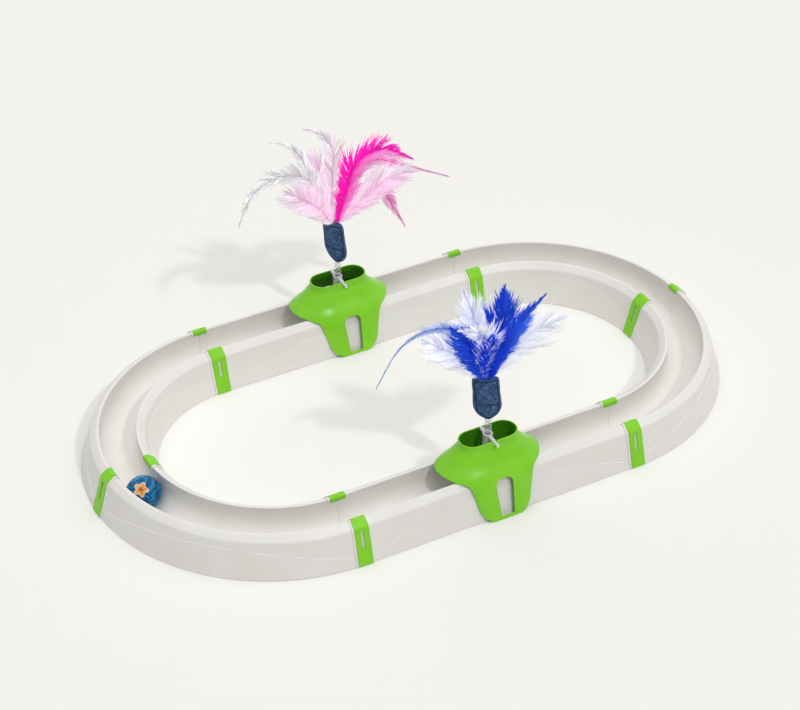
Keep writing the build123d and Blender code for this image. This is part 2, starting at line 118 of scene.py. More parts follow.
moulded_skin = bpy.data.node_groups.new("moulded_skin", "ShaderNodeTree")
moulded_skin.interface.new_socket("Place", in_out="INPUT", socket_type="NodeSocketVector")
moulded_skin.interface.new_socket("Mottle", in_out="OUTPUT", socket_type="NodeSocketFloat")
moulded_skin.interface.new_socket("Skin", in_out="OUTPUT", socket_type="NodeSocketFloat")
skin_place = moulded_skin.nodes.new("NodeGroupInput").outputs[0]
skin_out = moulded_skin.nodes.new("NodeGroupOutput")
flow = noise(moulded_skin, skin_place, scale=22.0, detail=3.0)
spark = noise(moulded_skin, skin_place, scale=2600.0, detail=2.0)
fill(moulded_skin, skin_out, {"Mottle": flow[0], "Skin": spark[0]})


def place_skin(tree, place):
    """The moulded skin's mottle and height, for one material."""
    group = lay(tree, "Group", {"Place": place}, node_tree=moulded_skin)
    return group.outputs["Mottle"], group.outputs["Skin"]


def raise_skin(tree, shader, height, strength, distance):
    """Turns a height into the shader's normal."""
    bump = lay(tree, "Bump", {"Height": height, "Strength": strength, "Distance": distance})
    fill(tree, shader, {"Normal": bump.outputs[0]})


def dress(names, material):
    """Gives CAD nodes their finish."""
    for name in names:
        nodes[name].data.materials.clear()
        nodes[name].data.materials.append(material)


track_plastic, tree, shader, place = new_finish("track_plastic")
mottle, skin = place_skin(tree, place)
axes = lay(tree, "SeparateXYZ", {0: place}).outputs
past_x = figure(tree, "SUBTRACT", figure(tree, "ABSOLUTE", axes[0]), straight_half)
past_straight = figure(tree, "MAXIMUM", past_x, 0.0)
round_end = lay(tree, "CombineXYZ", {0: past_straight, 1: axes[1]}).outputs[0]
from_turn = vector_figure(tree, "LENGTH", round_end)["Value"]
off_middle = figure(tree, "SUBTRACT", from_turn, bend_radius)
lane = ramp(tree, figure(tree, "ABSOLUTE", off_middle), lane_middle, lane_edge, 1.0, 0.0)
along = vector_figure(tree, "MULTIPLY", place, (streaks_along, streaks_along, 0.0))[0]
drawn = lay(tree, "CombineXYZ", {2: figure(tree, "MULTIPLY", off_middle, streaks_across)})
run = vector_figure(tree, "ADD", along, drawn.outputs[0])[0]
streaks = noise(tree, run, scale=1.0, detail=3.0)[0]
rubbed = figure(tree, "MULTIPLY", lane, ramp(tree, streaks, 0.42, 0.72))
white = tint(tree, spread(tree, mottle), (0.825, 0.805, 0.77, 1), (0.85, 0.835, 0.805, 1))
white = tint(tree, figure(tree, "MULTIPLY", rubbed, 0.4), white, (0.72, 0.70, 0.665, 1))
satin = spread(tree, mottle, 0.36, 0.44)
satin = figure(tree, "ADD", satin, figure(tree, "MULTIPLY", rubbed, 0.12))
fill(tree, shader, {"Base Color": white, "Roughness": satin})
raise_skin(tree, shader, skin, strength=0.12, distance=0.0002)
dress([name for name in nodes if name.startswith("track_")], track_plastic)

# Clips and bridges: lime green gloss plastic. Twelve clips hook over the rims at the six seams,
# and a hooded bridge straddles each straight. Their shapes come from the CAD model; the finish
# adds slow colour flow from the moulding, and painted shade inside each hood: a deeper green that
# reflects less, on a rougher face.
hood_reach = 0.075
hood_past = 0.08
scuff_height = 0.06
lime_plastic, tree, shader, place = new_finish("lime_plastic")
mottle, skin = place_skin(tree, place)
axes = lay(tree, "SeparateXYZ", {0: place}).outputs
facing = lay(tree, "SeparateXYZ", {0: lay(tree, "NewGeometry").outputs["True Normal"]}).outputs
off_y = figure(tree, "SUBTRACT", figure(tree, "ABSOLUTE", axes[1]), bend_radius)
off_y = figure(tree, "MULTIPLY", off_y, figure(tree, "SIGN", axes[1]))
from_axis = lay(tree, "CombineXYZ", {0: axes[0], 1: off_y}).outputs[0]
from_axis = vector_figure(tree, "NORMALIZE", from_axis)[0]
level = lay(tree, "CombineXYZ", {0: facing[0], 1: facing[1]}).outputs[0]
outward = vector_figure(tree, "DOT_PRODUCT", from_axis, level)["Value"]
near = ramp(tree, figure(tree, "ABSOLUTE", axes[0]), hood_reach, hood_past, 1.0, 0.0)
# inside: painted shade on each hood's inward-facing faces, which become deeper green and less
# reflective
inside = figure(tree, "MULTIPLY", ramp(tree, outward, -0.22, -0.08, 1.0, 0.0), near)
green = tint(tree, spread(tree, mottle), (0.218, 0.645, 0.012, 1), (0.248, 0.695, 0.017, 1))
green = tint(tree, figure(tree, "MULTIPLY", inside, 0.88), green, (0.034, 0.235, 0.005, 1))
scuffed = figure(tree, "MULTIPLY", ramp(tree, axes[2], 0.0, scuff_height, 0.12, 0.0), mottle)
dulled = figure(tree, "ADD", scuffed, spread(tree, mottle, 0.26, 0.34))
dulled = figure(tree, "ADD", dulled, figure(tree, "MULTIPLY", inside, 0.3))
gloss = figure(tree, "MULTIPLY_ADD", inside, -0.3, 0.4)
fill(tree, shader, {"Base Color": green, "Roughness": dulled, "Specular IOR Level": gloss})
raise_skin(tree, shader, skin, strength=0.06, distance=0.0002)
dress([name for name in nodes if name.startswith(("clip_", "bridge_"))], lime_plastic)

# Rockers and their weights: a white plastic post whose cross axle lies in two notches of the
# bridge's chimney, with a green painted steel ring on its foot that brings it upright again.
# Both come from the CAD model and get their finishes here.
rocker_plastic, tree, shader, place = new_finish("rocker_plastic")
mottle, skin = place_skin(tree, place)
white = tint(tree, spread(tree, mottle), (0.77, 0.77, 0.755, 1), (0.82, 0.82, 0.81, 1))
fill(tree, shader, {"Base Color": white, "Roughness": spread(tree, mottle, 0.3, 0.42)})
raise_skin(tree, shader, skin, strength=0.1, distance=0.0002)
dress(["rocker_front", "rocker_rear"], rocker_plastic)

painted_steel, tree, shader, place = new_finish("painted_steel")
mottle, skin = place_skin(tree, place)
specks = ramp(tree, skin, 0.35, 0.65)
paint = tint(tree, specks, (0.024, 0.14, 0.003, 1), (0.034, 0.175, 0.006, 1))
fill(tree, shader, {"Base Color": paint, "Roughness": spread(tree, mottle, 0.42, 0.6)})
raise_skin(tree, shader, skin, strength=0.2, distance=0.0003)
dress(["counterweight_front", "counterweight_rear"], painted_steel)

# Springs: hard-drawn steel wire wound into an open coil. The foot stands in the rocker's tube and
# the head ends just under the pouch; on the toy the coil bends between the two. One is wound here
# by screwing a ring of the wire's section round the axis, then copied to both places.
wire_radius = 0.0005
coil_radius = 0.0036
coil_foot = 0.0729
coil_rise = 0.0322
coil_turns = 6.75
steps_a_turn = 24
stations = (("front", -bend_radius), ("rear", bend_radius))
bpy.ops.object.select_all(action="DESELECT")
bpy.ops.mesh.primitive_circle_add(
    vertices=10,
    radius=wire_radius,
    location=(coil_radius, 0, coil_foot),
    rotation=(math.radians(90), 0, 0),
)
coil = bpy.context.object
coil.name = "coil"
bpy.ops.object.transform_apply(location=True, rotation=True, scale=True)
wind = coil.modifiers.new("wind", "SCREW")
wind.axis = "Z"
wind.angle = math.radians(coil_turns * 360)
wind.screw_offset = coil_rise
wind.steps = round(coil_turns * steps_a_turn)
wind.render_steps = wind.steps
bpy.ops.object.modifier_apply(modifier="wind")
bpy.ops.object.mode_set(mode="EDIT")
bpy.ops.mesh.select_all(action="SELECT")
bpy.ops.mesh.fill_holes(sides=0)
bpy.ops.mesh.normals_make_consistent(inside=False)
bpy.ops.object.mode_set(mode="OBJECT")
bpy.ops.object.shade_smooth_by_angle(angle=math.radians(50))

drawn_wire, tree, shader, place = new_finish("drawn_wire")
shader.inputs["Metallic"].default_value = 1.0
pulled = lay(tree, "Mapping", {0: place, 3: (1.0, 1.0, 9.0)}).outputs[0]
scratches = noise(tree, pulled, scale=700.0, detail=3.0)[0]
steel = tint(tree, spread(tree, scratches), (0.42, 0.42, 0.43, 1), (0.66, 0.66, 0.67, 1))
fill(tree, shader, {"Base Color": steel, "Roughness": spread(tree, scratches, 0.2, 0.38)})
raise_skin(tree, shader, scratches, strength=0.15, distance=0.0001)
coil.data.materials.append(drawn_wire)
for spot, centre_y in stations:
    spring = coil.copy()
    spring.data = coil.data.copy()
    spring.name = "coil_spring_" + spot
    spring.data.transform(Matrix.Translation((0, centre_y, 0)))
    bpy.context.collection.objects.link(spring)
    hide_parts("spring_" + spot)
    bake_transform(spring)
bpy.data.objects.remove(coil)

# Pouches: stuffed bags of blue denim, two faces sewn together near the edge so that a welt
# stands all round, with one row of quilting across. The cut shape is blown up by a cloth
# simulation held at the sewing lines, then the seams are drawn in and the stitches laid on.
pouch_foot = 0.106
pouch_height = 0.06
pouch_half = 0.017
pouch_lean = 0.1
pouch_levels = (0.0, 0.07, 0.2, 0.5, 0.8, 1.0)
pouch_widths = (0.22, 0.58, 0.90, 1.0, 0.97, 0.90)
pouch_room = (0.965, 0.80, 0.985)
pouch_lift = 0.0004
welt = 0.0036
held_seam = 0.0007
held_foot = 0.002
held_mouth = 0.0585
quilt_height = 0.0235
quilt_half = 0.0125
quilt_end = 0.0135
quilt_thin = 0.0009
seam_thin = 0.0008
seam_depth = 0.0011
pucker_depth = 0.00022
pucker_reach = 0.003
cloth_cell = 0.0011
most_swelling = 0.0022
settling_ticks = 20
stitch_radius = 0.00034
stitch_stretch = 3.4
stitch_proud = 0.00012
side_row = np.linspace(0.10, 0.94, 15)
mouth_row = np.linspace(-0.0105, 0.0105, 8)
quilt_row = np.linspace(-0.0118, 0.0118, 9)

denim, tree, shader, place = new_finish("denim")
sewn = lay(tree, "Attribute", attribute_name="sewn").outputs["Fac"]
edge = lay(tree, "Attribute", attribute_name="welt").outputs["Fac"]
cloth_uv = lay(tree, "UVMap", uv_map="cloth").outputs[0]
twill_bands = {"Vector": cloth_uv, "Scale": 0.36, "Distortion": 0.7}
twill_bands |= {"Detail": 1.0, "Detail Scale": 2.0}
twill = lay(tree, "TexWave", twill_bands, wave_type="BANDS", bands_direction="DIAGONAL").outputs[1]
upright_yarn = lay(tree, "Mapping", {0: cloth_uv, 3: (1.0, 0.16, 1.0)}).outputs[0]
slubs = noise(tree, upright_yarn, scale=1.1, detail=4.0, roughness=0.7)[0]
fade = noise(tree, cloth_uv, scale=0.16, detail=3.0, roughness=0.62)[0]
warp = ramp(tree, slubs, 0.3, 0.72)
yarn = tint(tree, warp, (0.008, 0.022, 0.068, 1), (0.076, 0.176, 0.40, 1))
bleached = ramp(tree, fade, 0.42, 0.68, 0.0, 0.7)
yarn = tint(tree, bleached, yarn, (0.14, 0.28, 0.54, 1))
between = figure(tree, "MULTIPLY", ramp(tree, twill, 0.1, 0.6, 1.0, 0.0), 0.45)
yarn = tint(tree, between, yarn, (0.008, 0.02, 0.058, 1))
yarn = tint(tree, figure(tree, "MULTIPLY", edge, 0.26), yarn, (0.15, 0.26, 0.46, 1))
yarn = tint(tree, figure(tree, "MULTIPLY", sewn, 0.85), yarn, (0.005, 0.012, 0.034, 1))
fill(tree, shader, {"Base Color": yarn, "Roughness": 0.86, "Specular IOR Level": 0.15})
fill(tree, shader, {"Sheen Weight": 0.08, "Sheen Roughness": 0.5})
raise_skin(tree, shader, figure(tree, "ADD", twill, slubs), strength=0.45, distance=0.0003)

thread, tree, shader, place = new_finish("navy_thread")
ply = noise(tree, place, scale=3200.0, detail=2.0)[0]
navy = tint(tree, ply, (0.012, 0.022, 0.055, 1), (0.05, 0.085, 0.17, 1))
fill(tree, shader, {"Base Color": navy, "Roughness": 0.7})
raise_skin(tree, shader, ply, strength=0.4, distance=0.0002)


def half_width(rise):
    """Half the cut shape's width, by shares of its height."""
    return pouch_half * np.interp(rise, pouch_levels, pouch_widths)


def outline_gap(across, up):
    """Distance in metres from points on the cut shape to its outline."""
    rise = np.linspace(0, 1, 90)
    right = np.stack([half_width(rise), pouch_height * rise], 1)
    left = right[::-1] * (-1, 1)
    loop = np.concatenate([right, left])
    best = np.full(len(across), 1.0)
    for a, b in zip(loop, np.roll(loop, -1, 0)):
        run = b - a
        share = ((across - a[0]) * run[0] + (up - a[1]) * run[1]) / max(run @ run, 1e-12)
        share = np.clip(share, 0, 1)
        gap = np.hypot(across - a[0] - share * run[0], up - a[1] - share * run[1])
        best = np.minimum(best, gap)
    return best


def points_of(mesh):
    """The mesh's points as an array."""
    flat = np.zeros(len(mesh.vertices) * 3)
    mesh.vertices.foreach_get("co", flat)
    return flat.reshape(-1, 3)


def set_points(mesh, points):
    """Puts an array of points back in the mesh."""
    mesh.vertices.foreach_set("co", points.reshape(-1))
    mesh.update()


def store(mesh, name, values):
    """Keeps one figure for each point of the mesh, for its finish."""
    kept = mesh.attributes.new(name, "FLOAT", "POINT")
    kept.data.foreach_set("value", np.array(values, np.float32))


def flatten(points, centre, axes):
    """Places on a leaning pouch as they lie on its upright cut shape: across, through and up."""
    upright = points - centre
    upright[:, 0] += pouch_lean * upright[:, 2]
    return upright @ axes.T


def restore(places, centre, axes):
    """Places on the cut shape put back on the leaning pouch."""
    upright = places @ axes
    upright[:, 0] -= pouch_lean * upright[:, 2]
    return upright + centre


def pick(thing):
    """Makes one object the only one selected."""
    bpy.ops.object.select_all(action="DESELECT")
    bpy.context.view_layer.objects.active = thing
    thing.select_set(True)


def add_smooth(name, mesh):
    """Puts a new mesh in the scene with its faces outward and smooth."""
    thing = bpy.data.objects.new(name, mesh)
    bpy.context.collection.objects.link(thing)
    pick(thing)
    bpy.ops.object.mode_set(mode="EDIT")
    bpy.ops.mesh.select_all(action="SELECT")
    bpy.ops.mesh.normals_make_consistent(inside=False)
    bpy.ops.object.mode_set(mode="OBJECT")
    bpy.ops.object.shade_smooth()
    return thing


bpy.ops.object.select_all(action="DESELECT")
bpy.ops.mesh.primitive_uv_sphere_add(segments=8, ring_count=6, radius=stitch_radius)
stitch = bpy.context.object
stitch.name = "stitch"
bpy.ops.object.mode_set(mode="EDIT")
bpy.ops.mesh.select_all(action="SELECT")
bpy.ops.transform.resize(value=(stitch_stretch, 1.0, 1.0))
bpy.ops.object.mode_set(mode="OBJECT")
bpy.ops.object.shade_smooth()
stitch_points = points_of(stitch.data)
stitch_faces = [tuple(face.vertices) for face in stitch.data.polygons]
bpy.data.objects.remove(stitch)

for spot, centre_y in stations:
    pouch = bpy.data.objects.new("denim_pouch_" + spot, nodes["pouch_" + spot].data.copy())
    pouch.data.materials.clear()
    bpy.context.collection.objects.link(pouch)
    pick(pouch)
    bpy.ops.object.mode_set(mode="EDIT")
    bpy.ops.mesh.select_all(action="SELECT")
    bpy.ops.mesh.remove_doubles(threshold=0.00002)
    bpy.ops.object.mode_set(mode="OBJECT")
    centre = np.array((0.0, centre_y, pouch_foot))
    corners = flatten(points_of(pouch.data), centre, np.eye(3))
    widest = corners[np.argmax(np.hypot(corners[:, 0], corners[:, 1]))]
    turn = math.atan2(widest[1], widest[0])
    turn -= math.pi * round(turn / math.pi)
    side = np.array((math.cos(turn), math.sin(turn), 0.0))
    face = np.array((math.sin(turn), -math.cos(turn), 0.0))
    axes = np.stack([side, face, np.array((0.0, 0.0, 1.0))])
    slim = corners @ axes.T * pouch_room + (0, 0, pouch_lift)
    set_points(pouch.data, restore(slim, centre, axes))
    pouch.data.remesh_voxel_size = cloth_cell
    bpy.ops.object.voxel_remesh()
    rest = points_of(pouch.data)
    across, through, up = flatten(rest, centre, axes).T
    quilt = np.abs(up - quilt_height - 0.0005 * np.sin(across * 420))
    on_quilt = (quilt < quilt_thin) & (np.abs(across) < quilt_half)
    on_seam = np.abs(outline_gap(across, up) - welt) < held_seam
    on_ends = (up > held_mouth) | (up < held_foot)
    held = pouch.vertex_groups.new(name="held")
    held.add([int(i) for i in np.nonzero(on_quilt | on_seam | on_ends)[0]], 1.0, "REPLACE")
    cloth = pouch.modifiers.new("stuffing", "CLOTH")
    cloth.settings.quality = 6
    cloth.settings.mass = 0.05
    cloth.settings.tension_stiffness = 12
    cloth.settings.compression_stiffness = 12
    cloth.settings.shear_stiffness = 4
    cloth.settings.bending_stiffness = 0.3
    cloth.settings.vertex_group_mass = "held"
    cloth.settings.use_pressure = True
    cloth.settings.uniform_pressure_force = 500
    cloth.settings.effector_weights.gravity = 0
    cloth.collision_settings.use_self_collision = False
    cloth.point_cache.frame_start = 1
    cloth.point_cache.frame_end = settling_ticks
    for tick in range(1, settling_ticks + 1):
        bpy.context.scene.frame_set(tick)
    bpy.ops.object.modifier_apply(modifier="stuffing")
    bpy.context.scene.frame_set(1)
    moved = points_of(pouch.data) - rest
    far = np.linalg.norm(moved, axis=1, keepdims=True)
    kept_share = np.minimum(1.0, most_swelling / np.maximum(far, 1e-9))
    set_points(pouch.data, rest + moved * kept_share)
    fine = pouch.modifiers.new("fine", "SUBSURF")
    fine.levels = 1
    fine.render_levels = 1
    bpy.ops.object.modifier_apply(modifier="fine")

    puffed = points_of(pouch.data)
    across, through, up = flatten(puffed, centre, axes).T
    normals = np.zeros(len(puffed) * 3)
    pouch.data.vertices.foreach_get("normal", normals)
    normals = normals.reshape(-1, 3)
    gap = outline_gap(across, up)
    wave = 0.0004 * np.sin(across * 700) + 0.0003 * np.sin(across * 1310 + 1)
    quilt = np.abs(up - quilt_height - wave)
    reach = np.clip((quilt_end - np.abs(across)) / 0.002, 0, 1)
    cross = np.exp(-((quilt / quilt_thin) ** 2)) * reach
    ring = np.exp(-(((gap - welt) / seam_thin) ** 2))
    on_face = np.clip(np.abs(normals @ face) * 1.6 - 0.2, 0, 1)
    pucker = np.sin(across * 1500 + up * 900) * np.sin(up * 1700 - across * 500)
    near = np.exp(-((np.minimum(np.abs(gap - welt), quilt) / pucker_reach) ** 2))
    depth = seam_depth * np.maximum(cross, 0.9 * ring) + pucker_depth * pucker * near
    depth = depth * on_face
    set_points(pouch.data, puffed - normals * depth[:, None])
    store(pouch.data, "sewn", np.maximum(cross, ring) * on_face)
    store(pouch.data, "welt", np.clip((welt - gap) / welt, 0, 1))
    cloth_map = pouch.data.uv_layers.new(name="cloth")
    corner_points = np.zeros(len(pouch.data.loops), np.int64)
    pouch.data.loops.foreach_get("vertex_index", corner_points)
    flat = np.stack([across + 0.4 * through, up], 1)[corner_points] * 1000
    cloth_map.data.foreach_set("uv", flat.reshape(-1).astype(np.float32))
    pouch.data.materials.append(denim)
    bpy.ops.object.shade_smooth()
    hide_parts("pouch_" + spot)
    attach(pouch, spot + "_plume")

    lines = []
    for sign in (1, -1):
        for edge_side in (1, -1):
            for wide, share in zip(half_width(side_row) - welt, side_row):
                lines.append((edge_side * wide, pouch_height * share, sign, math.radians(90)))
        lines += [(x, pouch_height - welt, sign, 0.0) for x in mouth_row]
        lines += [(x, quilt_height, sign, 0.0) for x in quilt_row]
    sewn_across, sewn_through, sewn_up = flatten(points_of(pouch.data), centre, axes).T
    verts, faces = [], []
    for across, up, sign, slant in lines:
        aim = (sewn_across - across) ** 2 + (sewn_up - up) ** 2
        aim = aim + np.where(sewn_through * sign > 0, 0, 1)
        out = sewn_through[np.argmin(aim)] + sign * stitch_proud
        lay_along = np.array((math.cos(slant), 0.0, math.sin(slant)))
        lay_beside = np.array((-math.sin(slant), 0.0, math.cos(slant)))
        shape = stitch_points[:, :1] * lay_along + stitch_points[:, 1:2] * lay_beside
        shape = shape + stitch_points[:, 2:] * np.array((0.0, 1.0, 0.0))
        first = len(verts)
        verts += [tuple(p) for p in restore(shape + np.array((across, out, up)), centre, axes)]
        faces += [tuple(first + i for i in f) for f in stitch_faces]
    rows = bpy.data.meshes.new("stitching_" + spot)
    rows.from_pydata(verts, [], faces)
    rows.materials.append(thread)
    stitching = add_smooth("stitching_" + spot, rows)
    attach(stitching, spot + "_plume")

# Feathers: dyed cock and goose feathers, nine in each pouch, glued in by their quills. Each has
# a tapering quill, a vane of some hundreds of barbs that lie side by side at a slant, loose down
# over its lower part and a nearly bare tip. A barb has three sides and runs out to a point.
barb_tone = bpy.data.node_groups.new("barb_tone", "ShaderNodeTree")
for label in ("Root", "Tip"):
    barb_tone.interface.new_socket(label, in_out="INPUT", socket_type="NodeSocketColor")
barb_tone.interface.new_socket("Color", in_out="OUTPUT", socket_type="NodeSocketColor")
tone_in = barb_tone.nodes.new("NodeGroupInput").outputs
tone_out = barb_tone.nodes.new("NodeGroupOutput")
paling = lay(barb_tone, "Attribute", attribute_name="paling").outputs["Fac"]
strand = lay(barb_tone, "Attribute", attribute_name="strand").outputs["Fac"]
dyed = tint(barb_tone, paling, tone_in["Root"], tone_in["Tip"])
depth = ramp(barb_tone, strand, 0.0, 1.0, 0.72, 1.16)
shade = lay(barb_tone, "HueSaturation", {"Value": depth, "Color": dyed})
fill(barb_tone, tone_out, {"Color": shade.outputs[0]})

feather_finishes = {}
for name, root, tip, quill, painted_glow in (
    ("magenta", (0.97, 0.001, 0.56), (0.96, 0.52, 0.86), (0.72, 0.001, 0.38), 0.36),
    ("mid_pink", (0.90, 0.20, 0.58), (0.95, 0.68, 0.87), (0.66, 0.10, 0.36), 0.30),
    ("pale_pink", (0.96, 0.66, 0.87), (0.96, 0.91, 0.95), (0.92, 0.60, 0.82), 0.36),
    ("grey_white", (0.84, 0.82, 0.85), (0.94, 0.94, 0.96), (0.64, 0.63, 0.68), 0.32),
    ("royal_blue", (0.003, 0.050, 0.70), (0.08, 0.24, 0.88), (0.002, 0.025, 0.40), 0.28),
    ("light_blue", (0.30, 0.46, 0.86), (0.82, 0.86, 0.95), (0.08, 0.20, 0.62), 0.26),
    ("lavender", (0.80, 0.81, 0.94), (0.92, 0.93, 0.97), (0.70, 0.72, 0.88), 0.34),
):
    barbs, tree, shader, place = new_finish("barbs_" + name)
    tone = lay(tree, "Group", node_tree=barb_tone)
    fill(tree, tone, {"Root": (*root, 1), "Tip": (*tip, 1)})
    # The barbs give off light in their own colour: a painted glow that stands in for light passing
    # through the thin barbs.
    fill(tree, shader, {"Base Color": tone.outputs[0], "Emission Color": tone.outputs[0]})
    fill(tree, shader, {"Emission Strength": painted_glow, "Roughness": 0.75, "Specular IOR Level": 0.15})
    keratin, tree, shader, place = new_finish("quill_" + name)
    grain = noise(tree, place, scale=500.0, detail=3.0)[0]
    paler = tuple(0.5 * a + 0.5 * b for a, b in zip(quill, root))
    horn = tint(tree, grain, (*quill, 1), (*paler, 1))
    fill(tree, shader, {"Base Color": horn, "Roughness": 0.38})
    feather_finishes[name] = (barbs, keratin)

feather_length = 0.18
vane_half = 0.014
vane_at = (0.0, 0.06, 0.16, 0.28, 0.42, 0.56, 0.68, 0.80, 0.90, 1.0)
vane_wide = (0.22, 0.50, 0.94, 1.24, 1.28, 1.04, 0.66, 0.32, 0.14, 0.06)
slim_from_length = 1.14
quill_rings = 30
quill_sides = 6
quill_root = 0.00085
quill_tip = 0.00016
quill_seat = 0.004
barb_steps = 5
barb_leave = 56
barb_leave_drop = 28
barb_close = 22
down_reach = 0.62
down_wide = 0.00055
plume_spread = 11
middle_layer = 4
layer_gap = 0.0012
quill_rise = 0.0005
mouth_height = pouch_foot + pouch_height + quill_rise
mouth_shift = -pouch_lean * pouch_height


def grow_feather(name, seed, base, row, tilt, finish, fade_left, fade_right, barb_count, down):
    """One feather on its curved quill, as a mesh of quill and barbs."""
    length_share, straight_share, curl_share, width_share, lean, tip_lean = row
    length = feather_length * length_share
    first, last = math.radians(lean), math.radians(tip_lean)
    curl_radius = curl_share * length / (last - first)
    slimming = 1.6 if length_share > slim_from_length else 1.0
    chance = random.Random(seed)
    verts, faces, paling, strands = [], [], [], []

    def frame_at(share):
        """Place on the quill, and its directions ahead, beside and through the vane."""
        to_curl = min(share, straight_share) * length
        in_curl = min(max(share - straight_share, 0), curl_share)
        past_curl = max(share - straight_share - curl_share, 0) * length
        now = first + (last - first) * in_curl / curl_share
        x = to_curl * math.sin(first) + past_curl * math.sin(last)
        x += curl_radius * (math.cos(first) - math.cos(now))
        up = to_curl * math.cos(first) + past_curl * math.cos(last)
        up += curl_radius * (math.sin(now) - math.sin(first))
        s, c = math.sin(now), math.cos(now)
        st, ct = math.sin(tilt), math.cos(tilt)
        spot = base + Vector((x, up * st, up * ct))
        ahead = Vector((s, c * st, c * ct))
        beside = Vector((c, -s * st, -s * ct))
        return spot, ahead, beside, Vector((0, ct, -st))

    def add_barb(spot, headings, barb_length, wide, fade_from, fade_to, flat, tone):
        """One barb along its headings, wide for most of its length and then pointed."""
        start = len(verts)
        steps = len(headings)
        for step, heading in enumerate(headings):
            share = step / steps
            half = wide * (1 - 0.6 * share**2) / 2
            across = heading.cross(flat).normalized()
            raised = across.cross(heading).normalized()
            verts.extend((spot + across * half, spot - across * half, spot + raised * half * 0.7))
            paling.extend([fade_from + (fade_to - fade_from) * share**0.8] * 3)
            strands.extend([tone] * 3)
            spot = spot + heading * (barb_length / steps)
        verts.append(spot)
        paling.append(fade_to)
        strands.append(tone)
        faces.append((start, start + 1, start + 2))
        for step in range(steps - 1):
            low = start + 3 * step
            for corner in range(3):
                after = (corner + 1) % 3
                faces.append((low + corner, low + 3 + corner, low + 3 + after, low + after))
        low = start + 3 * (steps - 1)
        for corner in range(3):
            faces.append((low + corner, start + 3 * steps, low + (corner + 1) % 3))

    for ring in range(quill_rings + 1):
        share = ring / quill_rings
        spot, ahead, beside, through = frame_at(share)
        if ring == 0:
            spot = spot - ahead * quill_seat
        thick = quill_root * (1 - share) ** 0.8 + quill_tip
        for corner in range(quill_sides):
            angle = corner * math.pi / 3
            outward = beside * (thick * math.cos(angle))
            verts.append(spot + outward + through * (thick * math.sin(angle)))
            paling.append(0.0)
            strands.append(0.5)
    for ring in range(quill_rings):
        for corner in range(quill_sides):
            here = ring * quill_sides + corner
            beyond = ring * quill_sides + (corner + 1) % quill_sides
            faces.append((here, beyond, beyond + quill_sides, here + quill_sides))
    faces.append(tuple(reversed(range(quill_sides))))
    faces.append(tuple(quill_rings * quill_sides + corner for corner in range(quill_sides)))
    quill_faces = len(faces)

    for side in (1, -1):
        fade = fade_right if side > 0 else fade_left
        count = 0
        while count < barb_count:
            tuft = min(chance.randint(8, 20), barb_count - count)
            drift, swing = chance.uniform(-1, 1), chance.uniform(-1, 1)
            longer, tone = chance.uniform(0.86, 1.12), chance.uniform(0.2, 0.8)
            for member in range(tuft):
                off = 2 * (member + 0.5) / tuft - 1
                share = 0.02 + 0.975 * (count + chance.uniform(0.1, 0.9)) / barb_count
                count += 1
                spot, ahead, beside, through = frame_at(share)
                outline = float(np.interp(1 - (1 - share) ** slimming, vane_at, vane_wide))
                reach = vane_half * width_share * outline * longer
                leave = barb_leave - barb_leave_drop * share + 4 * drift + chance.uniform(-5, 5)
                leave = math.radians(leave)
                settle = leave - math.radians(barb_close + 8 * drift + chance.uniform(-8, 8))
                barb = reach / math.sin(max((leave + settle) / 2, 0.2))
                barb *= (1 - 0.12 * off * off) * chance.uniform(0.72, 1.10)
                loft = 0.26 * swing + chance.uniform(-0.22, 0.22)
                headings = []
                for step in range(barb_steps):
                    angle = leave + 0.07 * off + (settle - leave) * step / (barb_steps - 1)
                    heading = ahead * math.cos(angle) + beside * (side * math.sin(angle))
                    headings.append((heading + through * (loft * (0.3 + step / 3))).normalized())
                pale = min(fade * (0.7 + 0.6 * share), 1.0)
                shine = min(max(tone + chance.uniform(-0.2, 0.2), 0.0), 1.0)
                wide = chance.uniform(0.0009, 0.0013)
                add_barb(spot, headings, barb, wide, 0.15 * pale, pale, through, shine)
    for count in range(round(down * barb_count)):
        share = down_reach * chance.random() ** 1.3
        spot, ahead, beside, through = frame_at(share)
        round_quill = chance.uniform(0, 2 * math.pi)
        outward = beside * math.cos(round_quill) + through * (0.6 * math.sin(round_quill))
        curlier = chance.uniform(-1, 1)
        headings = []
        for step in range(barb_steps):
            heading = ahead * (0.45 + 0.22 * step) + outward * (1.0 - 0.10 * step)
            heading = heading + ahead.cross(outward) * (curlier * 0.2 * step)
            headings.append(heading.normalized())
        reach = 0.45 + 0.8 * float(np.interp(share, vane_at, vane_wide))
        barb = vane_half * width_share * reach * chance.uniform(0.6, 1.15)
        fade = fade_right if math.cos(round_quill) > 0 else fade_left
        add_barb(spot, headings, barb, down_wide, 0.2 * fade, fade, through, chance.random())

    mesh = bpy.data.meshes.new(name)
    mesh.from_pydata(verts, [], faces)
    store(mesh, "paling", paling)
    store(mesh, "strand", strands)
    for material in feather_finishes[finish]:
        mesh.materials.append(material)
    barb_faces = len(faces) - quill_faces
    mesh.polygons.foreach_set("material_index", [1] * quill_faces + [0] * barb_faces)
    return add_smooth(name, mesh)


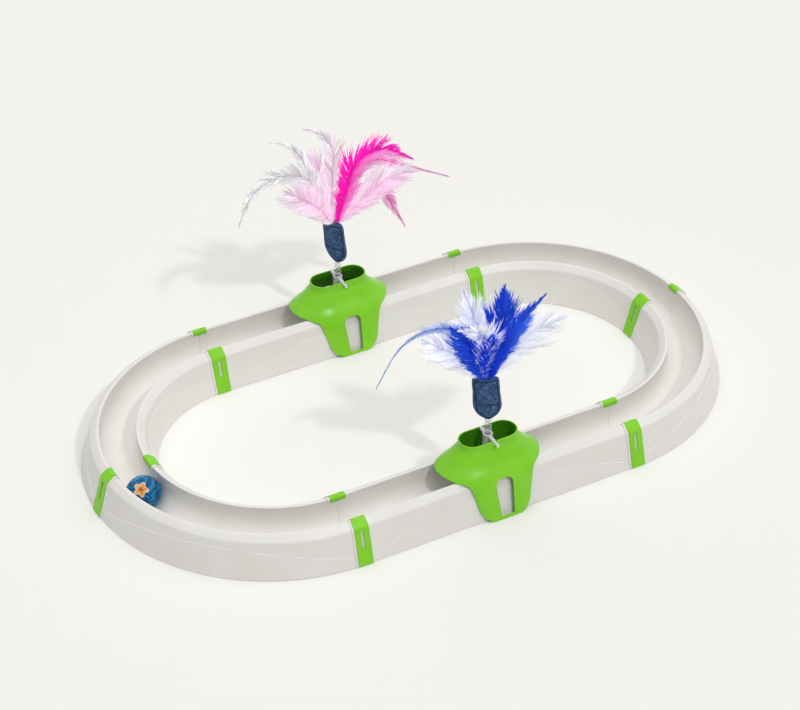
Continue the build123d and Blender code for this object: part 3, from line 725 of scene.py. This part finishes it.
# Each row has the place along the pouch's mouth, the shares of length, straight part, curl and
# width, the lean in degrees at the pouch and at the tip, a nod towards the front, the dye, how
# far it pales to the left and to the right, the barbs on a side and the down for each of them.
rear_rows = (
    (0.24, 1.02, 0.41, 0.36, 1.15, 9, 127, 0, "magenta", 0.05, 0.8, 380, 1.2),
    (-0.16, 0.56, 0.22, 0.34, 1.40, -32, -51, 0, "pale_pink", 1.0, 0.7, 260, 2.4),
    (0.28, 0.68, 0.47, 0.44, 1.40, 56, 98, 0, "pale_pink", 0.9, 0.3, 280, 2.4),
    (-0.20, 1.13, 0.29, 0.60, 0.85, -21, -160, 0, "grey_white", 0.9, 0.6, 400, 0.8),
    (0.26, 0.83, 0.18, 0.42, 0.60, 40, 153, 0, "mid_pink", 0.6, 0.9, 300, 0.6),
    (-0.09, 0.85, 0.55, 0.36, 0.85, 4, -64, 0, "grey_white", 0.7, 0.5, 320, 1.2),
    (0.22, 1.16, 0.26, 0.25, 0.75, 29, 118, 0, "mid_pink", 0.6, 1.0, 380, 0.8),
    (-0.04, 0.81, 0.60, 0.38, 0.60, -19, -73, 0, "grey_white", 1.0, 1.0, 300, 1.2),
    (0.10, 0.53, 0.53, 0.44, 1.40, -8, -19, 0, "pale_pink", 0.5, 0.8, 260, 2.4),
)
front_rows = (
    (0.22, 0.42, 0.55, 0.30, 1.20, -6, -17, 3, "royal_blue", 0.1, 0.1, 260, 2.0),
    (-0.18, 0.63, 0.50, 0.40, 1.15, -24, -42, 0, "royal_blue", 0.4, 0.2, 300, 1.8),
    (0.25, 0.71, 0.19, 0.30, 1.30, 13, -2, 0, "royal_blue", 0.1, 0.3, 320, 1.8),
    (-0.12, 0.65, 0.44, 0.39, 1.05, -6, -63, 10.5, "lavender", 0.3, 0.7, 300, 2.0),
    (0.28, 0.62, 0.55, 0.30, 0.80, 33, 53, 0, "royal_blue", 0.3, 0.8, 280, 0.8),
    (-0.22, 1.15, 0.21, 0.64, 0.62, -16, -148, 0, "light_blue", 0.4, 0.9, 400, 0.8),
    (0.28, 0.63, 0.33, 0.52, 1.40, 56, 88, 0, "lavender", 0.7, 1.0, 280, 2.4),
    (-0.27, 0.54, 0.15, 0.58, 1.35, -36, -54, 0, "lavender", 1.0, 0.7, 270, 2.4),
    (0.04, 0.62, 0.51, 0.30, 1.15, -5, -18, 0, "lavender", 0.7, 0.9, 280, 2.0),
)
for spot, centre_y, slot, rows in (
    ("rear", bend_radius, "feather_pink", rear_rows),
    ("front", -bend_radius, "feather_blue", front_rows),
):
    for layer, whole_row in enumerate(rows):
        share, *row, nod, finish, fade_left, fade_right, barb_count, down = whole_row
        step = layer - middle_layer
        tilt = math.radians(plume_spread * step / middle_layer - nod)
        base = Vector((share * pouch_half + mouth_shift, centre_y + step * layer_gap, mouth_height))
        name = "plumage_" + spot + "_" + str(layer + 1)
        seed = 100 * layer + len(spot)
        feather = grow_feather(
            name, seed, base, row, tilt, finish, fade_left, fade_right, barb_count, down
        )
        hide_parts("feather_" + spot + "_" + str(layer + 1))
        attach(feather, spot + "_plume")

# Ball: two thin glossy shells snapped together at the equator, in deep blue plastic with paler
# swirls run into it, and one printed flower in orange with a pale edge on its upper side.
# The shells come from the CAD model, and the print is part of their finish.
ball_centre = Vector((-0.3578, -0.0282, 0.0303))
ball_radius = 0.0205
petal_count = 5.0
petal_depth = 0.075
flower_radius = 0.37
print_out = Vector((-0.36, -0.52, 0.78)).normalized()
print_right = print_out.cross(Vector((0, 0, 1))).normalized() * -1
print_up = print_out.cross(print_right)
ball_plastic, tree, shader, place = new_finish("ball_plastic")
to_radii = {0: place, 1: -ball_centre / ball_radius, 3: (1 / ball_radius,) * 3}
from_centre = lay(tree, "Mapping", to_radii).outputs[0]
across = vector_figure(tree, "DOT_PRODUCT", from_centre, print_right)["Value"]
upward = vector_figure(tree, "DOT_PRODUCT", from_centre, print_up)["Value"]
outward = vector_figure(tree, "DOT_PRODUCT", from_centre, print_out)["Value"]
swirl_warp = noise(tree, from_centre, scale=1.6, detail=2.0)["Color"]
swirl_mix = {0: 0.42, 4: from_centre, 5: swirl_warp}
swirl_place = lay(tree, "Mix", swirl_mix, data_type="VECTOR").outputs[1]
swirl_bands = {"Vector": swirl_place, "Scale": 2.1, "Distortion": 5.5}
swirl_bands |= {"Detail": 3.0, "Detail Scale": 1.4}
swirls = lay(tree, "TexWave", swirl_bands, wave_type="RINGS").outputs[1]
deep = tint(tree, ramp(tree, swirls, 0.1, 0.9), (0.0006, 0.078, 0.205, 1), (0.001, 0.158, 0.37, 1))
deep = tint(tree, ramp(tree, swirls, 0.80, 1.0, 0.0, 0.6), deep, (0.03, 0.32, 0.52, 1))
round_flower = figure(tree, "ARCTAN2", upward, across)
spoke = figure(tree, "COSINE", figure(tree, "MULTIPLY", round_flower, petal_count))
petal_end = figure(tree, "ADD", figure(tree, "MULTIPLY", spoke, petal_depth), flower_radius)
across_squared = figure(tree, "MULTIPLY", across, across)
upward_squared = figure(tree, "MULTIPLY", upward, upward)
off_flower = figure(tree, "SQRT", figure(tree, "ADD", across_squared, upward_squared))
petal_edge = figure(tree, "SUBTRACT", petal_end, off_flower)
on_side = ramp(tree, outward, 0.0, 0.1)
printed = figure(tree, "MULTIPLY", ramp(tree, petal_edge, -0.012, 0.012), on_side)
orange = tint(tree, ramp(tree, across, -0.3, 0.3), (0.86, 0.46, 0.20, 1), (0.82, 0.28, 0.02, 1))
orange = tint(tree, ramp(tree, petal_edge, 0.03, 0.075, 1.0, 0.0), orange, (0.88, 0.70, 0.50, 1))
orange = tint(tree, ramp(tree, petal_edge, 0.27, 0.30), orange, (0.05, 0.02, 0.01, 1))
mottle = place_skin(tree, place)[0]
fill(tree, shader, {"Base Color": tint(tree, printed, deep, orange), "Specular IOR Level": 0.28})
fill(tree, shader, {"Roughness": spread(tree, mottle, 0.1, 0.2)})
raise_skin(tree, shader, printed, strength=0.2, distance=0.0002)
dress(["ball_upper_half", "ball_lower_half"], ball_plastic)

# Stage: a plain pale floor, a soft sky that is brightest overhead, a sun from the front that
# throws the feathers' shadows back across the floor, a wide weak one from the right, and the
# camera where the picture was taken.
bpy.ops.object.select_all(action="DESELECT")
bpy.ops.mesh.primitive_plane_add(size=14, location=(0, 0, -0.0005))
floor = bpy.context.object
floor.name = "floor"
bpy.ops.object.transform_apply(location=True, rotation=True, scale=True)
floor_paper, tree, shader, place = new_finish("floor_paper")
paper = noise(tree, place, scale=3.0, detail=2.0)[0]
shell = tint(tree, paper, (0.90, 0.893, 0.862, 1), (0.906, 0.899, 0.868, 1))
fill(tree, shader, {"Base Color": shell, "Roughness": 0.9, "Specular IOR Level": 0.1})
floor.data.materials.append(floor_paper)

sky_low = 0.03
sky_overhead = 2.0
sky_seen = 0.9
world = bpy.data.worlds.new("studio")
bpy.context.scene.world = world
world.use_nodes = True
tree = world.node_tree
sky = tree.nodes["Background"]
overhead = lay(tree, "SeparateXYZ", {0: lay(tree, "TexCoord").outputs["Generated"]}).outputs[2]
rays = lay(tree, "LightPath").outputs
mirrored = figure(tree, "MAXIMUM", rays["Is Glossy Ray"], rays["Is Transmission Ray"])
seen = figure(tree, "MAXIMUM", rays["Is Camera Ray"], mirrored)
rise = figure(tree, "POWER", figure(tree, "MAXIMUM", overhead, 0.0), 3.0)
dome_range = {"Value": rise, 1: 0.0, 2: 1.0, 3: sky_low, 4: sky_overhead}
dome = lay(tree, "MapRange", dome_range).outputs[0]
dome = lay(tree, "Mix", {0: seen, 2: dome, 3: sky_seen}, data_type="FLOAT").outputs[0]
fill(tree, sky, {"Color": (1.0, 0.997, 0.99, 1), "Strength": dome})


def hang_sun(name, direction, energy, width, colour=(1.0, 1.0, 1.0)):
    """A sun that shines from a direction, with its width in degrees."""
    bpy.ops.object.light_add(type="SUN")
    sun = bpy.context.object
    sun.name = name
    sun.data.energy = energy
    sun.data.angle = math.radians(width)
    sun.data.color = colour
    sun.rotation_euler = Vector(direction).to_track_quat("Z", "Y").to_euler()


hang_sun("front_sun", (0.10, -0.66, 0.745), energy=0.62, width=3, colour=(1.0, 0.985, 0.96))
hang_sun("side_sun", (0.76, -0.10, 0.64), energy=0.16, width=40)

look_at = Vector((0.043944, 0.099565, 0))
distance = 2.87336
azimuth = math.radians(-29.518)
elevation = math.radians(36.069)
roll = math.radians(0.4677)
level = math.cos(elevation)
back = Vector((math.sin(azimuth) * level, -math.cos(azimuth) * level, math.sin(elevation)))
right = (-back).cross(Vector((0, 0, 1))).normalized()
up = right.cross(-back)
rolled_right = right * math.cos(roll) + up * math.sin(roll)
rolled_up = up * math.cos(roll) - right * math.sin(roll)
turned = Matrix((rolled_right, rolled_up, back)).transposed().to_4x4()
bpy.ops.object.camera_add()
camera = bpy.context.object
camera.data.sensor_width = 36
camera.data.lens = 104.37
camera.data.clip_end = 50
camera.matrix_world = Matrix.Translation(look_at + back * distance) @ turned
bpy.context.scene.camera = camera
bpy.context.scene.view_settings.view_transform = "Standard"
